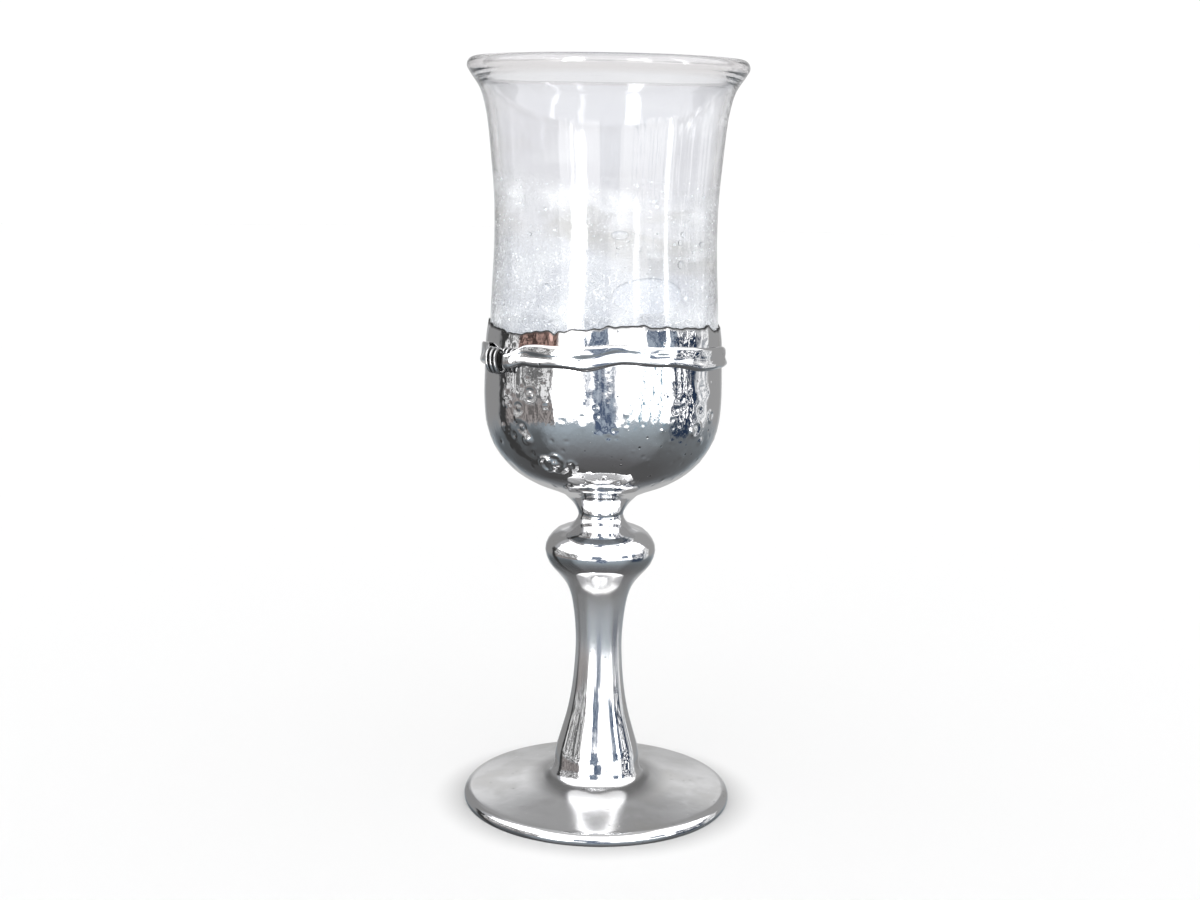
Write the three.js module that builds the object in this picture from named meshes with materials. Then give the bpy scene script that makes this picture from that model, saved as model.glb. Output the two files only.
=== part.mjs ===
// A kiddush cup: a blown glass goblet bowl that sits in a silver cup, stem and foot made as one,
// with a rumpled silver ribbon round the join and a few turns of wire binding the ribbon's ends.
// Millimetres, +Z up. The origin is the middle of the foot's underside. -Y is the front.

import * as THREE from 'three';

// ---- driving dimensions ----------------------------------------------------------------------

const HEIGHT = 190;              // foot to the top of the rim
const SIDES = 36;                // facets round every turned piece

const FOOT_RADIUS = 34.8;
const FOOT_EDGE = 1.5;           // half the thickness of the rounded foot edge
const FOOT_REST_INNER = 30.5;    // the foot rests on a flat ring outside this radius
const FOOT_RECESS = 1;           // the underside is hollowed by this much inside the ring

const RIM_RADIUS = 34.7;         // outside of the rim
const RIM_BEAD = 1.95;           // half the thickness of the rolled glass rim
const GLASS_WALL = 2.2;
const GLASS_FLOOR = 3.4;         // thickness of the glass at the bottom

const SILVER_WALL = 0.75;        // the silver cup round the glass
const GLASS_GAP = 0.3;           // left between the silver and the glass in it
const COLLAR_TOP = 125;          // mean height of the silver's torn upper edge
const COLLAR_TILT = 1.4;         // the edge is higher at the front than at the back
const COLLAR_TAPER = 0.15;       // the silver widens this much for each millimetre the edge dips

const RIBBON_HEIGHT = 5.2;
const RIBBON_MIDDLE = 117.1;     // mean height of the ribbon's middle line
const RIBBON_TILT = 3.1;         // the ribbon rises at the front and sinks at the back
const RIBBON_INNER = 30.3;
const RIBBON_THICKNESS = 0.75;

const BINDING_AZIMUTH = -54;     // degrees from the front, to the left
const BINDING_RADIUS = 32.15;    // where the pinched ribbon runs under the wire
const BINDING_DROP = 1.6;        // the wire draws the ribbon down by this much
const PINCH_HALF_HEIGHT = 1.9;
const PINCH_HALF_THICKNESS = 0.6;
const WIRE_DIAMETER = 1.1;
const WIRE_TURNS = 3;
const WIRE_PITCH = 1.85;
const WIRE_CLEARANCE = 0.3;      // left between the wire and the ribbon that it holds

// ---- profiles: [radius, height] --------------------------------------------------------------

// The silver, from the foot's upper face to the collar. It creases where the neck meets the cup.
const FOOT_TOP = [[33.3, 3], [24, 4.4], [14.4, 5.8]];
const STEM = [[12.1, 6.8], [11.2, 9], [10.8, 13], [9.4, 18], [7.8, 24], [6.6, 31.5], [5.97, 41]];
const UPPER_STEM = [[6.3, 48], [7.2, 54], [8.6, 57.8]];
const KNOP = [[10.9, 60.8], [13.1, 63.4], [14.15, 66.7], [13.4, 69.4], [11.3, 71.7], [8.6, 72.8]];
const NECK = [[6.6, 74], [5.7, 76], [6.4, 77.9], [7.7, 79.7], [9.7, 81.6]];
const CUP = [[9.7, 81.6], [12.8, 83], [17.7, 85], [22.4, 88], [26.1, 92], [28.3, 96], [29.6, 101]];
const COLLAR = [[30, 107], [29.9, 113], [29.75, 119], [29.5, 122.5], [29.1, COLLAR_TOP]];

// The outside of the glass above the silver, up to the rolled rim.
const GLASS_SIDE = [[28.1, 128.5], [28.35, 131], [28.1, 137], [27.8, 146], [28, 156], [28.8, 166]];
const GLASS_FLARE = [[29.8, 175.5], [31, 181], [32.1, 183.5]];

const radians = THREE.MathUtils.degToRad;

// The named points of a profile, joined by straight facets.
function line(...stretches) {
  return stretches.flat().map(([r, z]) => new THREE.Vector2(r, z));
}

// Points on a circle in the profile, both angles in degrees, counted from straight outwards.
function arc(centreR, centreZ, radius, from, to, steps) {
  const points = [];
  for (let i = 0; i <= steps; i++) {
    const angle = radians(from + (to - from) * i / steps);
    points.push(new THREE.Vector2(centreR + radius * Math.cos(angle), centreZ + radius * Math.sin(angle)));
  }
  return points;
}

// The same line moved sideways into the wall, by a distance worked out at each point.
function movedInwards(points, distance) {
  return points.map((point, i) => {
    const before = points[Math.max(i - 1, 0)];
    const after = points[Math.min(i + 1, points.length - 1)];
    const along = after.clone().sub(before).normalize();
    const depth = distance(point);
    return new THREE.Vector2(Math.max(point.x - along.y * depth, 0), point.y + along.x * depth);
  });
}

// A profile turned about the upright axis.
function turned(profile) {
  const geometry = new THREE.LatheGeometry(profile, SIDES);
  geometry.rotateX(Math.PI / 2);
  return geometry;
}

// Azimuth of a point in radians: 0 at the front, positive to the right.
function azimuthOf(x, y) {
  return Math.atan2(x, -y);
}

// ---- glass bowl ------------------------------------------------------------------------------

// Hollow, with a thick bottom and a rim rolled outwards into a round bead. Its lower half follows
// the inside of the silver cup.
function glassBowl() {
  const inSilver = movedInwards(line(CUP, COLLAR), () => SILVER_WALL + GLASS_GAP);
  const outside = [new THREE.Vector2(0, inSilver[0].y), ...inSilver, ...line(GLASS_SIDE, GLASS_FLARE)];
  const wall = (point) => {
    const share = THREE.MathUtils.smoothstep(point.x, CUP[2][0], CUP[5][0]);
    return point.y > COLLAR_TOP ? GLASS_WALL : THREE.MathUtils.lerp(GLASS_FLOOR, GLASS_WALL, share);
  };
  const inside = movedInwards(outside, wall).reverse();
  const bead = arc(RIM_RADIUS - RIM_BEAD, HEIGHT - RIM_BEAD, RIM_BEAD, -30, 186, 9);
  return turned([...outside, ...bead, ...inside]);
}

// ---- silver cup, stem and foot ---------------------------------------------------------------

// Height of the collar's uneven upper edge above its mean.
function collarWave(azimuth) {
  const tilt = COLLAR_TILT * Math.cos(azimuth);
  const dips = 0.8 * Math.cos(3 * (azimuth - radians(12)));
  return tilt + dips + 0.4 * Math.sin(2 * azimuth);
}

// One piece: the foot, the flared stem, the knop, the narrow neck and the thin cup with its collar.
function silverBase() {
  const underside = [
    new THREE.Vector2(0, FOOT_RECESS),
    new THREE.Vector2(FOOT_REST_INNER - FOOT_RECESS, FOOT_RECESS),
    new THREE.Vector2(FOOT_REST_INNER, 0),
  ];
  const edge = arc(FOOT_RADIUS - FOOT_EDGE, FOOT_EDGE, FOOT_EDGE, -90, 66, 4);
  const stem = line(FOOT_TOP, STEM, UPPER_STEM, KNOP, NECK);
  const cup = line(CUP, COLLAR);
  const inside = movedInwards(cup, () => SILVER_WALL).reverse();
  const floor = new THREE.Vector2(0, inside[inside.length - 1].y);
  const geometry = turned([...underside, ...edge, ...stem, ...cup.slice(1), ...inside, floor]);
  raiseCollar(geometry);
  return geometry;
}

// The upper edge wanders up and down, and the cup's side follows it less and less below.
function raiseCollar(geometry) {
  const position = geometry.getAttribute('position');
  const start = COLLAR[2][1];
  for (let i = 0; i < position.count; i++) {
    const x = position.getX(i);
    const y = position.getY(i);
    const z = position.getZ(i);
    const share = THREE.MathUtils.clamp((z - start) / (COLLAR_TOP - start), 0, 1);
    const lift = share * collarWave(azimuthOf(x, y));
    const spread = 1 - COLLAR_TAPER * Math.min(lift, 0) / COLLAR[4][0];
    position.setXYZ(i, x * spread, y * spread, z + lift);
  }
}

// ---- silver ribbon ---------------------------------------------------------------------------

const RIBBON_STEPS = 60;
const PINCH_REACH = 17;          // degrees either side of the wire over which the ribbon narrows
const PINCH_FLAT = 7;            // degrees either side of the wire where it stays narrow

// 1 under the wire, 0 away from it.
function pinch(azimuth) {
  const away = Math.abs(THREE.MathUtils.radToDeg(azimuth) - BINDING_AZIMUTH);
  return 1 - THREE.MathUtils.smoothstep(Math.min(away, 360 - away), PINCH_FLAT, PINCH_REACH);
}

function ribbonMiddle(azimuth) {
  const wave = RIBBON_TILT * Math.cos(azimuth) + 0.3 * Math.sin(4 * azimuth);
  return RIBBON_MIDDLE + wave - BINDING_DROP * pinch(azimuth);
}

// The strip's section, from its lower inner corner round the outside: two ridges with a crease
// between them. Each row is [share of the thickness, share of the height from the middle].
const RIBBON_SECTION = [
  [0, -0.46], [0.55, -0.5], [1.15, -0.33], [0.65, 0], [1.2, 0.3], [0.7, 0.5], [0, 0.47],
];

// Its section where the wire squeezes it: a narrow upright oval.
function pinchedSection(count) {
  const points = [];
  for (let i = 0; i < count; i++) {
    const angle = Math.PI * (-0.75 + 2 * i / count);
    points.push([PINCH_HALF_THICKNESS * Math.cos(angle), PINCH_HALF_HEIGHT * Math.sin(angle)]);
  }
  return points;
}

// A closed ring swept round the cup.
function silverRibbon() {
  const oval = pinchedSection(RIBBON_SECTION.length);
  const points = [];
  for (let step = 0; step < RIBBON_STEPS; step++) {
    const turned = radians(BINDING_AZIMUTH) + 2 * Math.PI * step / RIBBON_STEPS;
    const azimuth = azimuthOf(Math.sin(turned), -Math.cos(turned));
    const squeeze = pinch(azimuth);
    const swell = 1 + 0.12 * Math.sin(7 * azimuth);
    RIBBON_SECTION.forEach(([outwards, up], i) => {
      const flatRadius = RIBBON_INNER + RIBBON_THICKNESS * outwards * swell;
      const flatHeight = RIBBON_HEIGHT * up;
      const radius = THREE.MathUtils.lerp(flatRadius, BINDING_RADIUS + oval[i][0], squeeze);
      const height = ribbonMiddle(azimuth) + THREE.MathUtils.lerp(flatHeight, oval[i][1], squeeze);
      points.push(radius * Math.sin(azimuth), -radius * Math.cos(azimuth), height);
    });
  }
  return ring(points, RIBBON_STEPS, RIBBON_SECTION.length);
}

// A tube that closes on itself, from one row of section points for each step.
function ring(points, steps, around) {
  const index = [];
  for (let step = 0; step < steps; step++) {
    for (let i = 0; i < around; i++) {
      const here = step * around;
      const next = ((step + 1) % steps) * around;
      const j = (i + 1) % around;
      index.push(here + i, next + i, next + j);
      index.push(here + i, next + j, here + j);
    }
  }
  const geometry = new THREE.BufferGeometry();
  geometry.setAttribute('position', new THREE.Float32BufferAttribute(points, 3));
  geometry.setIndex(index);
  geometry.computeVertexNormals();
  return geometry;
}

// ---- binding wire ----------------------------------------------------------------------------

const WIRE_STEPS_PER_TURN = 14;
const WIRE_FACETS = 6;

// Round wire wound three times about the pinched ribbon.
function bindingWire() {
  const azimuth = radians(BINDING_AZIMUTH);
  const outwards = new THREE.Vector3(Math.sin(azimuth), -Math.cos(azimuth), 0);
  const along = new THREE.Vector3(Math.cos(azimuth), Math.sin(azimuth), 0);
  const centre = outwards.clone().multiplyScalar(BINDING_RADIUS).setZ(ribbonMiddle(azimuth));
  const standOff = WIRE_CLEARANCE + WIRE_DIAMETER / 2;
  const halfDepth = PINCH_HALF_THICKNESS + standOff;
  const halfHeight = PINCH_HALF_HEIGHT + standOff;
  const path = [];
  const count = WIRE_TURNS * WIRE_STEPS_PER_TURN;
  for (let i = 0; i <= count; i++) {
    const turn = i / WIRE_STEPS_PER_TURN;
    const angle = 2 * Math.PI * turn;
    const point = centre.clone();
    point.addScaledVector(along, (turn - WIRE_TURNS / 2) * WIRE_PITCH);
    point.addScaledVector(outwards, -halfDepth * Math.cos(angle));
    point.z += halfHeight * Math.sin(angle);
    path.push(point);
  }
  const section = new THREE.Shape();
  for (let i = 0; i < WIRE_FACETS; i++) {
    const angle = 2 * Math.PI * i / WIRE_FACETS;
    const x = WIRE_DIAMETER / 2 * Math.cos(angle);
    const y = WIRE_DIAMETER / 2 * Math.sin(angle);
    if (i === 0) section.moveTo(x, y);
    else section.lineTo(x, y);
  }
  section.closePath();
  const extrudePath = new THREE.CatmullRomCurve3(path);
  return new THREE.ExtrudeGeometry(section, { steps: count, extrudePath });
}

// ---- the cup ---------------------------------------------------------------------------------

const clearGlass = { color: 0xe4e8ec, roughness: 0.05, metalness: 0, transparent: true, opacity: 0.45 };
const brightSilver = { color: 0xd6d7da, roughness: 0.12, metalness: 1 };
const wornSilver = { color: 0xb9b6b2, roughness: 0.22, metalness: 1 };
const darkSilver = { color: 0x77746f, roughness: 0.3, metalness: 1 };

function piece(name, geometry, look) {
  const mesh = new THREE.Mesh(geometry, new THREE.MeshStandardMaterial(look));
  mesh.name = name;
  return mesh;
}

const cup = new THREE.Group();
cup.add(piece('silver_base', silverBase(), brightSilver));
cup.add(piece('glass_bowl', glassBowl(), clearGlass));
cup.add(piece('silver_ribbon', silverRibbon(), wornSilver));
cup.add(piece('binding_wire', bindingWire(), darkSilver));

export default cup;
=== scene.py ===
import math
import random

import bpy
import numpy as np
from mathutils import Matrix, Vector


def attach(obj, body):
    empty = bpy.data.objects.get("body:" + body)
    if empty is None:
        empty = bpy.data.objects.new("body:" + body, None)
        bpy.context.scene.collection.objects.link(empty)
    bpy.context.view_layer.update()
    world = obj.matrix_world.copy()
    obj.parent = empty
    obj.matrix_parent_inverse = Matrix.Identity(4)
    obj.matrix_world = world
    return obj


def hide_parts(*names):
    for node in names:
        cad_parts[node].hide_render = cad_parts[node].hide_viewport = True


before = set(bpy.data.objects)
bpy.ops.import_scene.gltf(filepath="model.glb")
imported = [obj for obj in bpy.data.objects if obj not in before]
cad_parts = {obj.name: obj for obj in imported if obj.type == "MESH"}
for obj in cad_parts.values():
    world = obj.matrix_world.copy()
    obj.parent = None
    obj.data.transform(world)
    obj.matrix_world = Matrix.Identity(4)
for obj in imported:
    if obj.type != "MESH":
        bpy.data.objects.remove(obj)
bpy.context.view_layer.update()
bpy.ops.object.select_all(action="DESELECT")


# ---- The view --------------------------------------------------------------------------------
# The cup is seen at arm's length, from just below the level of its rim, so that the foot opens
# into an ellipse and the rim closes to a line. The camera is held a degree off level.

eye = Vector((-0.0005, -0.4326, 0.1704))
looks_down = math.radians(10.2)
off_level = math.radians(0.98)

bpy.ops.object.camera_add(location=eye)
camera = bpy.context.object
turn = Matrix.Rotation(math.pi / 2 - looks_down, 4, "X") @ Matrix.Rotation(off_level, 4, "Z")
camera.rotation_euler = turn.to_euler()
camera.data.sensor_width = 36
camera.data.lens = 51.7
camera.data.clip_start = 0.01
bpy.context.scene.camera = camera


# ---- The table and the light -----------------------------------------------------------------
# A plain white table in a white room, with a soft shadow painted on the table round the foot.
# Two tall windows in front of the cup, one on either side, are what the silver and the glass
# mirror, with the grey of the room between and below them.


class Paint:
    """One value in a node tree. It wraps a socket, so that sums on values read as plain sums."""

    def __init__(self, tree, socket=None):
        self.tree = tree
        self.socket = socket

    def __getitem__(self, output):
        return Paint(self.tree, self.socket.node.outputs[output])

    def node(self, kind, settings=None, inputs=None, output=0):
        made = self.tree.nodes.new("ShaderNode" + kind)
        for name, value in (settings or {}).items():
            if name == "stops":
                while len(made.color_ramp.elements) < len(value):
                    made.color_ramp.elements.new(1)
                for element, (place, colour) in zip(made.color_ramp.elements, value):
                    element.position = place
                    element.color = (*colour, 1)
            else:
                setattr(made, name, value)
        for name, value in (inputs or {}).items():
            if isinstance(value, Paint):
                self.tree.links.new(value.socket, made.inputs[name])
            else:
                made.inputs[name].default_value = value
        return Paint(self.tree, made.outputs[output])

    def feed(self, shader, name):
        self.tree.links.new(self.socket, shader.inputs[name])

    def __add__(self, other):
        return self.node("Math", {"operation": "ADD"}, {0: self, 1: other})

    def __sub__(self, other):
        return self.node("Math", {"operation": "SUBTRACT"}, {0: self, 1: other})

    def __rsub__(self, other):
        return self.node("Math", {"operation": "SUBTRACT"}, {0: other, 1: self})

    def __mul__(self, other):
        return self.node("Math", {"operation": "MULTIPLY"}, {0: self, 1: other})

    def __neg__(self):
        return self * -1

    __radd__ = __add__
    __rmul__ = __mul__


def rising(value, low, high):
    """0 below low, 1 above high, and a smooth slope between them."""
    ends = {"Value": value, "From Min": low, "From Max": high}
    return value.node("MapRange", {"interpolation_type": "SMOOTHSTEP"}, ends)


def blend(share, first, second):
    """A colour between two: the first where share is 0, the second where it is 1."""
    return share.node("Mix", {"data_type": "RGBA"}, {0: share, 6: first, 7: second}, output=2)


def grey(level):
    return (level, level, level, 1)


def new_material(name):
    """A material, its main shader, and the place on the piece that its patterns read."""
    material = bpy.data.materials.new(name)
    material.use_nodes = True
    tree = material.node_tree
    return material, tree.nodes["Principled BSDF"], Paint(tree).node("TexCoord", output="Object")


def from_axis(axes):
    """How far out a place is from the upright axis of the cup, in metres."""
    return axes.node("Math", {"operation": "SQRT"}, {0: axes["X"] * axes["X"] + axes["Y"] * axes["Y"]})


bpy.ops.mesh.primitive_circle_add(vertices=64, radius=3, fill_type="NGON")
table = bpy.context.object
table.name = "table"
table.visible_glossy = False
white_table, shader, place = new_material("white_table")
shader.inputs["Roughness"].default_value = 0.8
axes = place.node("SeparateXYZ", inputs={0: place})
# Painted shadow: the table darker in a ring round the foot, standing in for its soft contact shadow.
painted_contact_shadow = 1 - rising(from_axis(axes), 0.032, 0.044)
blend(painted_contact_shadow, grey(0.88), grey(0.58)).feed(shader, "Base Color")
table.data.materials.append(white_table)

room = bpy.data.worlds.new("room")
room.use_nodes = True
room.cycles.sampling_method = "NONE"
bpy.context.scene.world = room
sky = Paint(room.node_tree)
way = sky.node("TexCoord", output="Generated")
axes = way.node("SeparateXYZ", inputs={0: way})
waver = way.node("TexNoise", inputs={"Vector": way, "Scale": 5, "Detail": 5, "Roughness": 0.6})
ragged = way.node("TexNoise", inputs={"Vector": way, "Scale": 19, "Detail": 4})
curls = way.node("TexNoise", inputs={"Vector": way, "Scale": 8, "Detail": 3, "Distortion": 3.5})
side = way.node("Math", {"operation": "ARCTAN2"}, {0: axes["X"], 1: -axes["Y"]})
side = side * math.degrees(1) + (waver["Fac"] - 0.5) * 22 + (ragged["Fac"] - 0.5) * 8
height = way.node("Math", {"operation": "ARCSINE"}, {0: axes["Z"]})
height = height * math.degrees(1) + (ragged["Fac"] - 0.5) * 9


def card(left, right, low, high, soft):
    """1 inside a patch of the room seen between these angles, in degrees, 0 outside it."""
    across = rising(side, left - soft, left + soft) * (1 - rising(side, right - soft, right + soft))
    return across * rising(height, low - soft, low + soft) * (1 - rising(height, high - soft, high + soft))


up_the_room = [(0, (0.09, 0.09, 0.09)), (0.17, (0.12, 0.12, 0.125)), (0.28, (0.2, 0.215, 0.23))]
up_the_room += [(0.36, (0.29, 0.33, 0.36)), (0.415, (0.38, 0.44, 0.49)), (0.5, (0.40, 0.41, 0.43))]
up_the_room += [(0.75, (0.45, 0.45, 0.46)), (1, (0.62, 0.62, 0.62))]
reflected = way.node("ValToRGB", {"stops": up_the_room}, {"Fac": (height + 90) * (1 / 180)})
browns = blend(rising(curls["Fac"], 0.42, 0.58), (0.36, 0.33, 0.32, 1), (0.13, 0.12, 0.117, 1))
streaky = blend(rising(curls["Fac"], 0.5, 0.54), grey(0.14), grey(0.9))
blues = blend(rising(curls["Fac"], 0.45, 0.55), (0.36, 0.42, 0.50, 1), (0.07, 0.10, 0.17, 1))

# What stands round the cup. Each entry lies over those before it: where it shows, and its colour.
furnishings = [
    # the dark floor at both sides, and grey walls at the sides and behind
    (card(-152, -58, -75, -13, 12) * 0.75, grey(0.05)),
    (card(60, 150, -75, -13, 12) * 0.6, grey(0.07)),
    (card(-160, -117, -16, 48, 5), grey(0.27)),
    (card(118, 160, -16, 48, 5), grey(0.33)),
    (card(-300, -163, -40, 22, 6), grey(0.5)),
    (card(160, 300, -40, 22, 8), grey(0.5)),
    (card(-300, -166, 14, 28, 5), grey(0.8)),
    (card(166, 300, 14, 28, 5), grey(0.8)),
    (card(-300, -140, 31, 62, 5), grey(0.33)),
    (card(140, 300, 31, 62, 5), grey(0.33)),
    # a dark upright at the left, and brown shelves beside it
    (card(-119, -104, -60, 12, 3), grey(0.045)),
    (card(-106, -48, -16, -8, 1.5), browns),
    (card(-106, -46, -8, 15, 1), streaky),
    # the windows in front and the bright ceiling above them
    (card(-48, 100, -14, 16, 1), grey(1.8)),
    (card(-104, 112, 14, 64, 1.5), grey(1.8)),
    # the bluish wall between the windows, and what hangs in them at the right
    (card(-8, 12, -24, -5, 1.5), blues),
    (card(-25, 3, -6, 13, 2), blues),
    (card(46, 78, -3, 11, 2), blues),
    (card(24, 70, -17, 0, 3) * rising(curls["Fac"], 0.57, 0.6), (0.14, 0.3, 0.4, 1)),
    (card(72, 103, -26, 8, 3) * rising(curls["Fac"], 0.43, 0.46), (0.02, 0.035, 0.07, 1)),
    (card(103, 119, -20, 14, 3) * rising(curls["Fac"], 0.46, 0.5), grey(1.0)),
    # the brightest strips of sky, bright enough to show on clear glass
    (card(-36, -20, -11, 46, 1), grey(9)),
    (card(27, 34, -8, 45, 1), grey(5)),
    (card(60, 66, -14, 45, 1), grey(6)),
]
for shows, colour in furnishings:
    reflected = blend(shows, reflected, colour)

# Rays that reach the room through the glass, or as the plain backdrop, find it nearly even.
seen_through = blend(rising(height, 24, 50), grey(1), grey(0.5))
kind_of_ray = way.node("LightPath")
light = blend(kind_of_ray["Is Glossy Ray"], grey(1.15), reflected)
light = blend(kind_of_ray["Is Transmission Ray"], light, seen_through)
light = blend(kind_of_ray["Is Camera Ray"], light, grey(1.05))
light.feed(room.node_tree.nodes["Background"], "Color")
bpy.context.scene.view_settings.view_transform = "Standard"


# ---- The silver cup, stem and foot -----------------------------------------------------------
# One piece from the round foot to the torn edge of the collar: a bright coat of silver over a
# blown form, smooth on the stem and knop, blistered and finely pitted on the cup.

mm = 0.001


def smooth_outline(points, spacing):
    """A smooth curve through points of (radius, height), with steps of about that spacing."""
    ends = [points[0], *points, points[-1]]
    outline = []
    for a, b, c, d in zip(ends, ends[1:], ends[2:], ends[3:]):
        a, b, c, d = (np.array(p, float) for p in (a, b, c, d))
        steps = max(2, round(np.linalg.norm(c - b) / spacing))
        for i in range(steps):
            t = i / steps
            slope_b, slope_c = (c - a) / 2, (d - b) / 2
            cubic = (2 * b - 2 * c + slope_b + slope_c) * t**3
            square = (3 * c - 3 * b - 2 * slope_b - slope_c) * t**2
            outline.append(cubic + square + slope_b * t + b)
    outline.append(np.array(points[-1], float))
    return outline


def arc(centre_r, centre_z, radius, start, end, steps):
    """Points of (radius, height) on a circle, the angles in degrees from straight outwards."""
    angles = np.radians(np.linspace(start, end, steps + 1))
    return [np.array((centre_r + radius * math.cos(a), centre_z + radius * math.sin(a))) for a in angles]


def moved_inwards(outline, depth):
    """The same outline moved into the wall by a depth, one number or one for each point."""
    line = np.array(outline)
    along = np.gradient(line, axis=0)
    along /= np.linalg.norm(along, axis=1)[:, None]
    inwards = np.stack([-along[:, 1], along[:, 0]], axis=1)
    return list(line + inwards * np.reshape(depth, (-1, 1)))


def close_and_smooth(merge=False):
    """Turn all faces of the piece in hand outwards, merged first where asked, and shade it smooth."""
    bpy.ops.object.mode_set(mode="EDIT")
    bpy.ops.mesh.select_all(action="SELECT")
    if merge:
        bpy.ops.mesh.remove_doubles(threshold=0.002 * mm)
    bpy.ops.mesh.normals_make_consistent(inside=False)
    bpy.ops.object.mode_set(mode="OBJECT")
    bpy.ops.object.shade_smooth()


def turned(name, outline, sides):
    """One vertex extruded along an outline in millimetres, and the line spun into a closed form."""
    bpy.ops.mesh.primitive_plane_add(size=mm)
    piece = bpy.context.object
    piece.name = name
    bpy.ops.object.mode_set(mode="EDIT")
    bpy.ops.mesh.select_mode(type="VERT")
    bpy.ops.mesh.merge(type="CENTER")
    points = [Vector((max(r, 0), 0, z)) * mm for r, z in outline]
    bpy.ops.transform.translate(value=points[0])
    for here, after in zip(points, points[1:]):
        bpy.ops.mesh.extrude_region_move(TRANSFORM_OT_translate={"value": after - here})
    bpy.ops.mesh.select_all(action="SELECT")
    bpy.ops.mesh.spin(steps=sides, angle=2 * math.pi, center=(0, 0, 0), axis=(0, 0, 1))
    close_and_smooth(merge=True)
    return piece


def places(piece):
    """The vertices of a piece, in millimetres, one row each."""
    flat = np.empty(len(piece.data.vertices) * 3)
    piece.data.vertices.foreach_get("co", flat)
    return flat.reshape(-1, 3) / mm


def put(piece, points):
    """The vertices of a piece moved to these places, in millimetres."""
    piece.data.vertices.foreach_set("co", (points * mm).ravel())
    piece.data.update()


def azimuth(points):
    """Degrees round the cup: 0 at the front, positive to the right."""
    return np.degrees(np.arctan2(points[:, 0], -points[:, 1]))


def round_from(around, at):
    """Degrees from one azimuth to each of the others, the short way round."""
    return (around - at + 180) % 360 - 180


def mark(piece, name, amounts):
    """A number from 0 to 1 at each vertex, which a material can read."""
    layer = piece.data.attributes.new(name, "FLOAT", "POINT")
    layer.data.foreach_set("value", np.clip(amounts, 0, 1).astype(np.float32))


foot_radius = 34.8
foot_edge = 2.2
foot_rest = 30.5
foot_recess = 1
foot_top = [(32.3, 3.27), (24, 4.4), (14.4, 5.8)]
stem = [(12.1, 6.8), (11.2, 9), (10.8, 13), (9.4, 18), (7.8, 24), (6.6, 31.5), (5.97, 41)]
upper_stem = [(6.3, 48), (7.2, 54), (8.6, 57.8)]
knop = [(10.9, 60.8), (13.1, 63.4), (14.15, 66.7), (13.4, 69.4), (11.3, 71.7), (8.6, 72.8)]
neck = [(6.6, 74), (5.7, 76), (6.4, 77.9), (7.7, 79.7), (9.7, 81.6)]
cup = [(9.7, 81.6), (12.8, 83), (17.7, 85), (22.4, 88), (26.1, 92), (28.3, 96), (29.6, 101)]
collar = [(30, 107), (29.9, 113), (29.75, 119), (29.5, 122.5), (29.1, 125)]
silver_wall = 0.6
relief_from = 84
relief_to_side = 82

cup_outline = smooth_outline(cup + collar, 0.6)
outline = [(0, foot_recess), (15, foot_recess), (foot_rest - foot_recess, foot_recess), (foot_rest, 0)]
outline += arc(foot_radius - foot_edge - 0.05, 1, foot_edge, -27, 80, 12)
outline += smooth_outline(foot_top + stem + upper_stem + knop + neck, 1.4)
outline += cup_outline[1:]
lining = moved_inwards(cup_outline, silver_wall)[::-4]
outline += lining + [(0, lining[-1][1])]
silver = turned("silver_cup", outline, 240)
bpy.ops.object.mode_set(mode="EDIT")
bpy.ops.mesh.select_mode(type="FACE")
bpy.ops.mesh.select_all(action="DESELECT")
bpy.ops.object.mode_set(mode="OBJECT")
for face in silver.data.polygons:
    x, y, z = face.center
    facing = face.normal.x * x + face.normal.y * y > 0
    in_front = abs(math.degrees(math.atan2(x, -y))) < relief_to_side
    face.select = facing and in_front and z > relief_from * mm
bpy.ops.object.mode_set(mode="EDIT")
bpy.ops.mesh.subdivide(number_cuts=1)
bpy.ops.object.mode_set(mode="OBJECT")
points = places(silver)
around = azimuth(points)
turn_angle = np.radians(around)

collar_top = 125
collar_start = 119
share = np.clip((points[:, 2] - collar_start) / (collar_top - collar_start), 0, 1)
wave = 1.4 * np.cos(turn_angle) + 0.8 * np.cos(3 * (turn_angle - math.radians(12)))
wave += 0.4 * np.sin(2 * turn_angle) + 0.18 * np.sin(9 * turn_angle) + 0.14 * np.sin(23 * turn_angle + 1)
wave += 0.13 * np.sin(37 * turn_angle + 2 * np.sin(5 * turn_angle)) + 0.1 * np.sin(61 * turn_angle)
torn_tab = 1.1 * np.exp(-((around - 60) / 3.5) ** 2)
notch = -0.9 * np.exp(-((around + 24) / 1.6) ** 2) - 0.5 * np.exp(-((around + 46) / 5) ** 2)
lift = share * (wave + torn_tab + notch)
spread = 1 - 0.15 * np.minimum(lift, 0) / 29.1
points[:, 2] += lift
points[:, :2] *= spread[:, None]
# The collar's torn top edge is darkened: oxide, and painted shade of the gap where it meets the glass.
edge_oxide_and_shade = np.clip((share - 0.9) / 0.06, 0, 1)

dice = random.Random(7)
swells = [(-24, 93.5, 1.3, 0.62), (-19.5, 92.8, 1.0, 0.4), (-38, 99, 1.7, 0.6), (-37, 95.4, 1.1, -0.25)]
swells += [(-13, 93.6, 0.6, 0.2), (47, 101, 1.6, 0.3), (52, 106, 1.4, -0.26), (56, 98, 1.5, 0.28)]
swells += [(-56, 101, 1.5, 0.3), (-60, 97, 1.2, -0.24), (60, 110, 1.6, 0.24), (-52, 107, 1.4, 0.22)]
swells += [(44, 95, 1.2, 0.2), (-44, 104, 1.3, 0.22), (-47, 99.5, 1.0, -0.2), (36, 107, 1.2, -0.16)]
for _ in range(26):
    at, up = dice.uniform(-180, 180), dice.uniform(86, 112)
    swells.append((at, up, dice.uniform(1.4, 3), dice.uniform(-0.14, 0.14)))
for _ in range(300):
    size = dice.uniform(0.5, 0.9)
    swells.append((dice.uniform(-180, 180), dice.uniform(84, 114), size, dice.choice((-0.14, 0.11)) * size))
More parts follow.
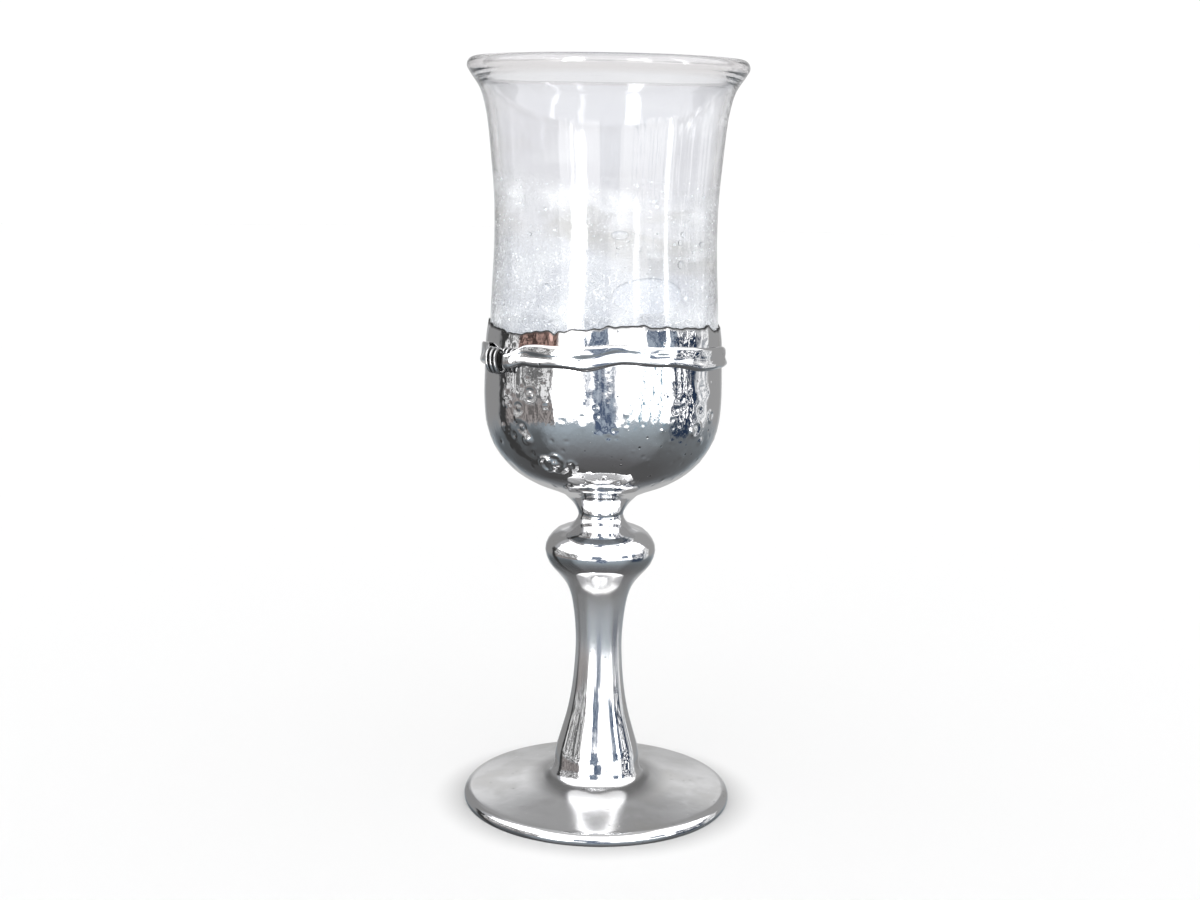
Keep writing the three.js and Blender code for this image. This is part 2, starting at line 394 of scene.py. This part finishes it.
swells += [(-27, 94.6, 0.7, 0.4), (-22, 92.2, 0.6, 0.35), (-21.5, 94.6, 0.6, 0.35), (-25.5, 92.1, 0.6, 0.3)]
rings = [(-29.5, 93.2, 1.7, 0.6), (-24, 93.5, 2.2, 0.3), (-36, 110, 1.2, -0.2), (-43, 106.4, 1.0, -0.18)]
rings += [(-41, 101.8, 1.0, -0.18), (63, 104, 1.3, 0.22), (50, 101.5, 1.8, 0.2), (-15.5, 93.4, 1.0, 0.2)]

normals = np.empty(len(silver.data.vertices) * 3)
silver.data.vertices.foreach_get("normal", normals)
normals = normals.reshape(-1, 3)
radius = np.hypot(points[:, 0], points[:, 1])
outer = (points[:, 2] > cup[0][1]) & (np.einsum("ij,ij->i", normals[:, :2], points[:, :2]) > 0)
push = np.zeros(len(points))


def away_from(at, up):
    """Millimetres along the silver from a spot on it to each of its vertices."""
    return np.hypot(np.radians(round_from(around, at)) * radius, points[:, 2] - up)


for at, up, size, tall in swells:
    push += tall * np.exp(-((away_from(at, up) / size * 1.6) ** 2))
for at, up, size, tall in rings:
    push += tall * np.exp(-(((away_from(at, up) - size) / 0.4) ** 2))
points += normals * (push * outer)[:, None]
put(silver, points)
mark(silver, "tarnish", edge_oxide_and_shade)

bright_silver, shader, place = new_material("bright_silver")
axes = place.node("SeparateXYZ", inputs={0: place})
level = axes["Z"]
out = from_axis(axes)
on_cup = rising(level, 0.083, 0.09)
on_foot = 1 - rising(level, 0.0062, 0.0072)
on_top = on_foot * rising(level, 0.0029, 0.0034)
satin = rising(level, 0.022, 0.045) * (1 - rising(level, 0.058, 0.063))
clouds = place.node("TexNoise", inputs={"Vector": place, "Scale": 90, "Detail": 4})
grain = place.node("TexNoise", inputs={"Vector": place, "Scale": 900, "Detail": 2})
ripples = place.node("TexNoise", inputs={"Vector": place, "Scale": 230, "Detail": 3})
dents = place.node("TexNoise", inputs={"Vector": place, "Scale": 75, "Detail": 1})
drawn = place.node("Mapping", inputs={"Vector": place, "Scale": (500, 500, 40)})
strokes = place.node("TexNoise", inputs={"Vector": drawn, "Scale": 1, "Detail": 2})
pits = place.node("TexVoronoi", inputs={"Vector": place, "Scale": 380})
pit = (1 - rising(pits["Distance"], 0.05, 0.17)) * rising(clouds["Fac"], 0.5, 0.56) * (0.25 + on_cup * 0.75)
dark = place.node("Attribute", {"attribute_name": "tarnish"}, output="Fac")
turn = place.node("Math", {"operation": "ARCTAN2"}, {0: axes["X"], 1: -axes["Y"]})
# Painted reflection: a brown patch on the collar at the front left, the room's brown mirrored there, kept
# off the ribbon.
painted_brown_reflection = rising(turn, -0.78, -0.74) * (1 - rising(turn, -0.4, -0.36)) * rising(level, 0.118, 0.119)
painted_brown_reflection = painted_brown_reflection * (1 - rising(out, 0.0299, 0.0302))
warm = rising(clouds["Fac"], 0.5, 0.8)
colour = blend(warm * 0.5, (0.90, 0.90, 0.91, 1), (0.80, 0.77, 0.73, 1))
smudges = on_top * rising(clouds["Fac"], 0.42, 0.62)
colour = blend(smudges * 0.4, colour, grey(0.6))
# Painted shade: the top of the foot darker close to the stem.
colour = blend(on_top * (1 - rising(out, 0.014, 0.02)) * 0.8, colour, grey(0.34))
colour = blend(painted_brown_reflection * 0.9, colour, (0.4, 0.23, 0.19, 1))
colour = blend(pit * 0.8, colour, grey(0.12))
# Blackened where marked: oxide between the turns of the wire, the ribbon where the wire binds it, and the
# top edge of the collar, oxide with painted shade of its gap against the glass.
colour = blend(dark, colour, grey(0.05))
colour.feed(shader, "Base Color")
rough = 0.03 + rising(clouds["Fac"], 0.4, 0.8) * 0.05 + grain["Fac"] * 0.02 + dark * 0.3
rough = rough + on_top * 0.12 + satin * 0.13
rough.feed(shader, "Roughness")
hazy = rising(level, 0.022, 0.045) * (1 - rising(level, 0.06, 0.066))
metal = 1 - hazy * 0.14
metal.feed(shader, "Metallic")
relief = dents["Fac"] * (0.15 + on_cup) + ripples["Fac"] * (0.05 + on_cup * 0.16)
relief = relief + strokes["Fac"] * 0.03 + grain["Fac"] * 0.02 - pit * 0.25
bump = place.node("Bump", inputs={"Height": relief, "Strength": 0.5, "Distance": 0.0005})
bump.feed(shader, "Normal")
silver.data.materials.append(bright_silver)
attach(silver, "root")
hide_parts("silver_base")


# ---- The glass bowl --------------------------------------------------------------------------
# Blown glass, thick at the bottom and in the rolled rim, drawn in a little at the waist. It sits
# in the silver cup, and it is milky in clouds where it is full of fine seed.

glass_wall = 2.2
glass_floor = 3.4
rim_radius = 34.7
rim_bead = 1.95
cup_height = 190
glass_side = [(28.6, 125.5), (28.5, 129), (28.1, 137), (27.8, 146), (28, 156), (28.8, 166)]
glass_flare = [(29.8, 175.5), (31, 181), (32.1, 183.5), (33.4, 185.4)]

in_silver = moved_inwards(cup_outline, silver_wall + 0.1)[::2]
in_silver = [p for p in in_silver if p[1] < 121]
above = smooth_outline([tuple(in_silver[-1])] + glass_side + glass_flare, 1.2)
skin = in_silver + above[1:]
depths = [glass_floor + (glass_wall - glass_floor) * min(max((r - 14) / 13, 0), 1) for r, _ in skin]
inside = [p for p in moved_inwards(skin, depths) if p[1] < 185.6][::-1]
bead = arc(rim_radius - rim_bead, cup_height - rim_bead, rim_bead, -40, 196, 20)
glass = turned("blown_glass", [(0, skin[0][1])] + skin + bead + inside + [(0, inside[-1][1])], 160)
points = places(glass)
turn_angle = np.radians(azimuth(points))
sway = 0.12 * np.sin(2 * turn_angle + points[:, 2] / 21) + 0.05 * np.sin(5 * turn_angle - points[:, 2] / 13)
free = np.clip((points[:, 2] - 127) / 12, 0, 1) * np.clip((187 - points[:, 2]) / 6, 0, 1)
points[:, :2] *= (1 + sway * free / 28)[:, None]
put(glass, points)

blown_glass, shader, place = new_material("blown_glass")
blown_glass.cycles.emission_sampling = "NONE"
shader.inputs["IOR"].default_value = 1.5
shader.inputs["Transmission Weight"].default_value = 1
shader.inputs["Coat Weight"].default_value = 1
shader.inputs["Coat Roughness"].default_value = 0.01
axes = place.node("SeparateXYZ", inputs={0: place})
level = axes["Z"]
drawn = place.node("Mapping", inputs={"Vector": place, "Scale": (60, 60, 14)})
streaks = place.node("TexNoise", inputs={"Vector": drawn, "Scale": 1, "Detail": 3})
laid = place.node("Mapping", inputs={"Vector": place, "Scale": (20, 20, 85)})
bands = place.node("TexNoise", inputs={"Vector": laid, "Scale": 1, "Detail": 6, "Distortion": 0.8})
clouds = place.node("TexNoise", inputs={"Vector": place, "Scale": 110, "Detail": 5})
tangle = place.node("TexNoise", inputs={"Vector": place, "Scale": 330, "Detail": 1, "Distortion": 2.5})
off_line = place.node("Math", {"operation": "ABSOLUTE"}, {0: tangle["Fac"] - 0.5})
threads = 1 - rising(off_line, 0.006, 0.026)
mist = place.node("TexNoise", inputs={"Vector": laid, "Scale": 0.6, "Detail": 5, "Distortion": 1.5})
wavy = level + axes["X"] * 0.16 + (bands["Fac"] - 0.5) * 0.03 + (clouds["Fac"] - 0.5) * 0.008
veil = rising(wavy, 0.1475, 0.1525) * (1 - rising(wavy, 0.155, 0.162))
murky = rising(wavy, 0.141, 0.145) * (1 - rising(wavy, 0.149, 0.152))
murky = murky * (1 - rising(mist["Fac"], 0.44, 0.56))
low_down = 1 - rising(wavy, 0.138, 0.148)
in_rim = rising(level, 0.1856, 0.1866)
relief = streaks["Fac"] * 0.25 + clouds["Fac"] * (0.1 + low_down * 0.5) + threads * (veil + low_down) * 0.12
bump = place.node("Bump", inputs={"Height": relief, "Strength": 0.3, "Distance": 0.001})
bump.feed(shader, "Normal")
tint = blend(rising(streaks["Fac"], 0.35, 0.65), (0.872, 0.874, 0.898, 1), (0.897, 0.9, 0.92, 1))
tint = blend(rising(mist["Fac"], 0.45, 0.7) * 0.6, tint, (0.96, 0.965, 0.98, 1))
tint = blend((1 - rising(mist["Fac"], 0.3, 0.45)) * 0.5, tint, (0.865, 0.862, 0.868, 1))
tint = blend(low_down * 0.7, tint, (0.872, 0.887, 0.93, 1))
tint = blend(veil * rising(clouds["Fac"], 0.4, 0.65) * 0.8, tint, (0.985, 0.985, 0.99, 1))
tint = blend(murky, tint, (0.81, 0.808, 0.805, 1))
tint = blend(low_down * rising(clouds["Fac"], 0.45, 0.6) * 0.7, tint, (0.96, 0.97, 0.985, 1))
tint = blend((veil + low_down) * threads * 0.7, tint, (0.99, 1, 1, 1))
tint = blend(in_rim, tint, (0.80, 0.785, 0.79, 1))
tint.feed(shader, "Base Color")
rough = 0.06 + veil * 0.05 + low_down * 0.08 - in_rim * 0.05
rough.feed(shader, "Roughness")
milk_and_painted_glow = place.node("BsdfPrincipled", inputs={"Base Color": (0.97, 0.98, 1, 1), "Roughness": 0.4})
# The milk glows a little of itself: painted light that whitens the milky clouds.
milk_and_painted_glow.socket.node.inputs["Emission Color"].default_value = (0.92, 0.96, 1, 1)
milk_and_painted_glow.socket.node.inputs["Emission Strength"].default_value = 0.5
wisps = rising(clouds["Fac"], 0.46, 0.62)
haze = 0.01 + rising(mist["Fac"], 0.45, 0.7) * 0.03 + veil * (0.04 + wisps * 0.16) + low_down * wisps * 0.05
haze = haze + (1 - rising(level, 0.126, 0.134)) * (0.06 + wisps * 0.12)
haze = haze + threads * (veil * 0.14 + low_down * 0.36)
mixed = place.node("MixShader", inputs={0: haze, 1: Paint(None, shader.outputs[0]), 2: milk_and_painted_glow})
outcome = blown_glass.node_tree.nodes["Material Output"]
mixed.feed(outcome, "Surface")
glass.data.materials.append(blown_glass)
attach(glass, "root")
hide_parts("glass_bowl")


# ---- The bubbles in the glass ----------------------------------------------------------------
# Air caught in the wall of the bowl: small flattened bubbles, thick above the silver and fewer
# towards the waist, with a scatter of larger ones.

bubble_count = 2600
lowest_bubble = 119
highest_bubble = 161

bpy.ops.mesh.primitive_uv_sphere_add(segments=7, ring_count=5, radius=1)
bubble = bpy.context.object
one = np.array([v.co[:] for v in bubble.data.vertices])
faces = [tuple(f.vertices) for f in bubble.data.polygons]
bpy.data.objects.remove(bubble)

skin_height = np.array([p[1] for p in skin])
skin_radius = np.array([p[0] for p in skin])
all_points, all_faces = [], []
for _ in range(bubble_count):
    up = lowest_bubble + (highest_bubble - lowest_bubble) * dice.random() ** 1.3
    at = dice.uniform(-math.pi, math.pi)
    size = 0.07 + 0.2 * dice.random() ** 5
    out = np.interp(up, skin_height, skin_radius) - dice.uniform(0.5, 1.7)
    outwards = np.array((math.sin(at), -math.cos(at), 0))
    along = np.array((math.cos(at), math.sin(at), 0))
    wide = size * dice.uniform(0.9, 2.2)
    tall = size * dice.uniform(0.8, 1.4)
    shape = one[:, :1] * along * wide + one[:, 1:2] * outwards * size * 0.7
    shape = shape + one[:, 2:] * np.array((0, 0, tall))
    first = len(all_points) * len(one)
    all_points.append(shape + outwards * out + np.array((0, 0, up)))
    all_faces += [tuple(i + first for i in face) for face in faces]
mesh = bpy.data.meshes.new("air_bubbles")
mesh.from_pydata((np.concatenate(all_points) * mm).tolist(), [], all_faces)
bubbles = bpy.data.objects.new("air_bubbles", mesh)
bpy.context.collection.objects.link(bubbles)
bpy.ops.object.select_all(action="DESELECT")
bubbles.select_set(True)
bpy.context.view_layer.objects.active = bubbles
close_and_smooth()

air, shader, place = new_material("air_in_glass")
air.cycles.emission_sampling = "NONE"
shader.inputs["Metallic"].default_value = 0.1
shader.inputs["Roughness"].default_value = 0.1
# Painted glints: the bubbles glow, white on most of them and faint on the rest.
shader.inputs["Emission Strength"].default_value = 0.95
tone = place.node("TexNoise", inputs={"Vector": place, "Scale": 1400})
colour = blend(rising(tone["Fac"], 0.4, 0.6), (0.92, 0.94, 0.97, 1), (1, 1, 1, 1))
colour.feed(shader, "Base Color")
painted_glint = blend(rising(tone["Fac"], 0.42, 0.5), grey(0.08), (0.9, 0.95, 1, 1))
painted_glint.feed(shader, "Emission Color")
bubbles.data.materials.append(air)
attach(bubbles, "root")


# ---- The flat blisters in the glass ----------------------------------------------------------
# Larger pockets of air, pressed flat as the wall was blown: one broad oval above the silver at
# the right, and a few small ones round about. Their edges catch the light, and a faint painted
# glow lies over the whole of them.

flat_blisters = [(22.5, 134.2, 9, 4.3), (41, 141.4, 1, 1), (7, 148.5, 2.1, 1.1), (-30, 136, 1.3, 0.8)]
flat_blisters += [(58, 146, 1.4, 0.7), (-62, 131, 1.2, 0.9)]
for _ in range(18):
    wide = dice.uniform(0.4, 1)
    at, up = dice.uniform(-180, 180), dice.uniform(127, 152)
    flat_blisters.append((at, up, wide, wide * dice.uniform(0.5, 1)))
blister_depth = 0.45

pockets = []
for at, up, wide, tall in flat_blisters:
    sides = 48 if wide > 3 else 20
    bpy.ops.mesh.primitive_uv_sphere_add(segments=sides, ring_count=sides // 2, radius=1)
    pocket = bpy.context.object
    ball = np.array([v.co[:] for v in pocket.data.vertices])
    turn_angle = math.radians(at) + ball[:, 0] * wide / 27
    level_now = up + ball[:, 2] * tall
    radius = np.interp(level_now, skin_height, skin_radius) - glass_wall / 2 - ball[:, 1] * blister_depth
    put(pocket, np.stack([radius * np.sin(turn_angle), -radius * np.cos(turn_angle), level_now], axis=1))
    pockets.append(pocket)
bpy.ops.object.select_all(action="DESELECT")
for pocket in pockets:
    pocket.select_set(True)
bpy.ops.object.join()
blisters = bpy.context.object
blisters.name = "flat_blisters"
close_and_smooth()

thin_air, shader, place = new_material("thin_air")
thin_air.cycles.emission_sampling = "NONE"
shader.inputs["IOR"].default_value = 1.25
shader.inputs["Transmission Weight"].default_value = 1
shader.inputs["Coat Weight"].default_value = 1
# Painted glow: a faint light of their own on the flat blisters.
shader.inputs["Emission Color"].default_value = (0.9, 0.95, 1, 1)
shader.inputs["Emission Strength"].default_value = 0.04
film = place.node("TexNoise", inputs={"Vector": place, "Scale": 300, "Detail": 2})
colour = blend(film["Fac"], (0.95, 0.965, 0.99, 1), (1, 1, 1, 1))
colour.feed(shader, "Base Color")
rough = film["Fac"] * 0.04
rough.feed(shader, "Roughness")
blisters.data.materials.append(thin_air)
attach(blisters, "root")


# ---- The silver ribbon -----------------------------------------------------------------------
# A rumpled strip of thin silver laid round the join of glass and silver, higher at the front
# than at the back. A long crease runs along it, and the wire squeezes it narrow at the left.

ribbon_inner = 30.3
ribbon_height = 5.2
binding_azimuth = -54
binding_drop = 1.6
binding_radius = 32.15

bpy.ops.mesh.primitive_cylinder_add(vertices=300, radius=1, depth=1, end_fill_type="NOTHING")
ribbon = bpy.context.object
ribbon.name = "rumpled_ribbon"
bpy.ops.object.mode_set(mode="EDIT")
bpy.ops.mesh.select_mode(type="EDGE")
bpy.ops.mesh.select_all(action="DESELECT")
bpy.ops.object.mode_set(mode="OBJECT")
for edge in ribbon.data.edges:
    low, high = (ribbon.data.vertices[i].co.z for i in edge.vertices)
    edge.select = abs(low - high) > 0.5
bpy.ops.object.mode_set(mode="EDIT")
bpy.ops.mesh.subdivide(number_cuts=13)
bpy.ops.object.mode_set(mode="OBJECT")
flat = np.array([v.co[:] for v in ribbon.data.vertices])
around = azimuth(flat)
turn_angle = np.radians(around)
across = flat[:, 2] + 0.5


def ribbon_middle(turn_angle):
    """The height of the middle of the ribbon: high at the front, low at the back, and wavy."""
    return 117.1 + 3.1 * np.cos(turn_angle) + 0.3 * np.sin(4 * turn_angle)


def near(at, width):
    """1 at an azimuth and 0 away from it, for every vertex of the ribbon."""
    return np.exp(-(round_from(around, at) / width) ** 2)


middle = ribbon_middle(turn_angle)
low_wave = 0.35 * np.sin(6 * turn_angle + 0.6) + 0.2 * np.sin(13 * turn_angle)
low_wave -= 0.8 * near(-6, 9) + 0.9 * near(60, 12)
high_wave = 0.3 * np.sin(5 * turn_angle + 2) + 0.18 * np.sin(11 * turn_angle) + 0.7 * near(-35, 8)
gap = np.abs(round_from(around, binding_azimuth))
free = np.clip((gap - 6) / 10, 0, 1)
squeeze = 1 - free**2 * (3 - 2 * free)
middle -= binding_drop * squeeze
crease_at = 0.52 + 0.1 * np.sin(2 * turn_angle + 0.4) + 0.05 * np.sin(5 * turn_angle)
creased = 0.9 * near(0, 11) + 0.5 * near(-31, 7) + 0.4 * near(70, 25)
creased += 0.6 * near(150, 30) + 0.5 * near(-130, 20)
crease = np.exp(-((across - crease_at) / 0.1) ** 2) * creased
ridge_at = 0.66 + 0.1 * near(-40, 9) - 0.3 * near(-54, 8) + 0.05 * np.sin(4 * turn_angle)
ridge = np.exp(-((across - ridge_at) / 0.06) ** 2) * (0.25 + 0.75 * near(-42, 16))
lower_ridge = np.exp(-((across - 0.22) / 0.15) ** 2)
depth = 0.42 + 0.34 * lower_ridge + 0.2 * ridge - 0.34 * crease
depth += 0.06 * np.sin(17 * turn_angle + 5 * across) + 0.04 * np.sin(31 * turn_angle - 7 * across)
depth -= 0.45 * np.clip((across - 0.9) / 0.1, 0, 1) ** 2
depth -= 0.75 * np.clip((0.13 - across) / 0.13, 0, 1) ** 1.5
flat_height = middle + (across - 0.5) * ribbon_height + (1 - across) * low_wave + across * high_wave
oval = np.pi * (across - 0.5)
tight_radius = binding_radius - 0.15 + 0.6 * np.cos(oval)
tight_height = middle + 1.9 * np.sin(oval)
radius = (ribbon_inner + depth) * (1 - squeeze) + tight_radius * squeeze
height_now = flat_height * (1 - squeeze) + tight_height * squeeze
put(ribbon, np.stack([radius * np.sin(turn_angle), -radius * np.cos(turn_angle), height_now], axis=1))
thicken = ribbon.modifiers.new("thickness", "SOLIDIFY")
thicken.thickness = 0.35 * mm
thicken.offset = -1
round_off = ribbon.modifiers.new("rounding", "SUBSURF")
round_off.levels = 1
round_off.render_levels = 1
for modifier in ("thickness", "rounding"):
    bpy.ops.object.modifier_apply(modifier=modifier)
bpy.ops.object.shade_smooth()
points = places(ribbon)
around = azimuth(points)
gap = np.abs(round_from(around, binding_azimuth))
# The ribbon darkened where the wire binds it.
mark(ribbon, "tarnish", np.clip((6.2 - gap) / 1, 0, 1) * 0.95)

worn_silver = bright_silver.copy()
worn_silver.name = "ribbon_silver"
ribbon.data.materials.append(worn_silver)
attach(ribbon, "root")
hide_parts("silver_ribbon")


# ---- The binding wire ------------------------------------------------------------------------
# Round silver wire, wound three times about the ribbon at the front left and drawn tight, so
# that the ribbon is narrow and rounded under it. It is bright on its turns and black between.

wire_width = 1.0
wire_turns = 3
wire_pitch = 1.85
half_depth = 1.45
half_height = 2.8
steps_a_turn = 24

at = math.radians(binding_azimuth)
outwards = Vector((math.sin(at), -math.cos(at), 0))
along = Vector((math.cos(at), math.sin(at), 0))
centre = outwards * binding_radius
centre.z = ribbon_middle(at) - binding_drop
bpy.ops.curve.primitive_nurbs_path_add()
wire = bpy.context.object
wire.name = "wound_wire"
wire.data.splines.clear()
count = wire_turns * steps_a_turn + 1
spline = wire.data.splines.new("NURBS")
spline.points.add(count - 1)
for i in range(count):
    turns = i / steps_a_turn
    angle = 2 * math.pi * turns
    spot = centre + along * ((turns - wire_turns / 2) * wire_pitch)
    spot = spot - outwards * (half_depth * math.cos(angle))
    spot.z += half_height * math.sin(angle)
    spline.points[i].co = (*(spot * mm), 1)
spline.order_u = 4
spline.use_endpoint_u = True
wire.data.dimensions = "3D"
wire.data.bevel_depth = wire_width / 2 * mm
wire.data.bevel_resolution = 5
wire.data.use_fill_caps = True
bpy.ops.object.convert(target="MESH")
close_and_smooth(merge=True)
points = places(wire)
from_centre = points - np.array(centre)
sideways = from_centre @ np.array(along)
depth = from_centre @ np.array(outwards)
turns = np.arctan2(from_centre[:, 2], -depth) / (2 * math.pi) % 1
nearest = np.round(sideways / wire_pitch + wire_turns / 2 - turns) + turns
off_crest = np.abs(sideways - (nearest - wire_turns / 2) * wire_pitch) / (wire_width / 2)
mark(wire, "tarnish", (off_crest - 0.5) / 0.3)
wire_silver = bright_silver.copy()
wire_silver.name = "wire_silver"
wire.data.materials.append(wire_silver)
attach(wire, "root")
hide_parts("binding_wire")
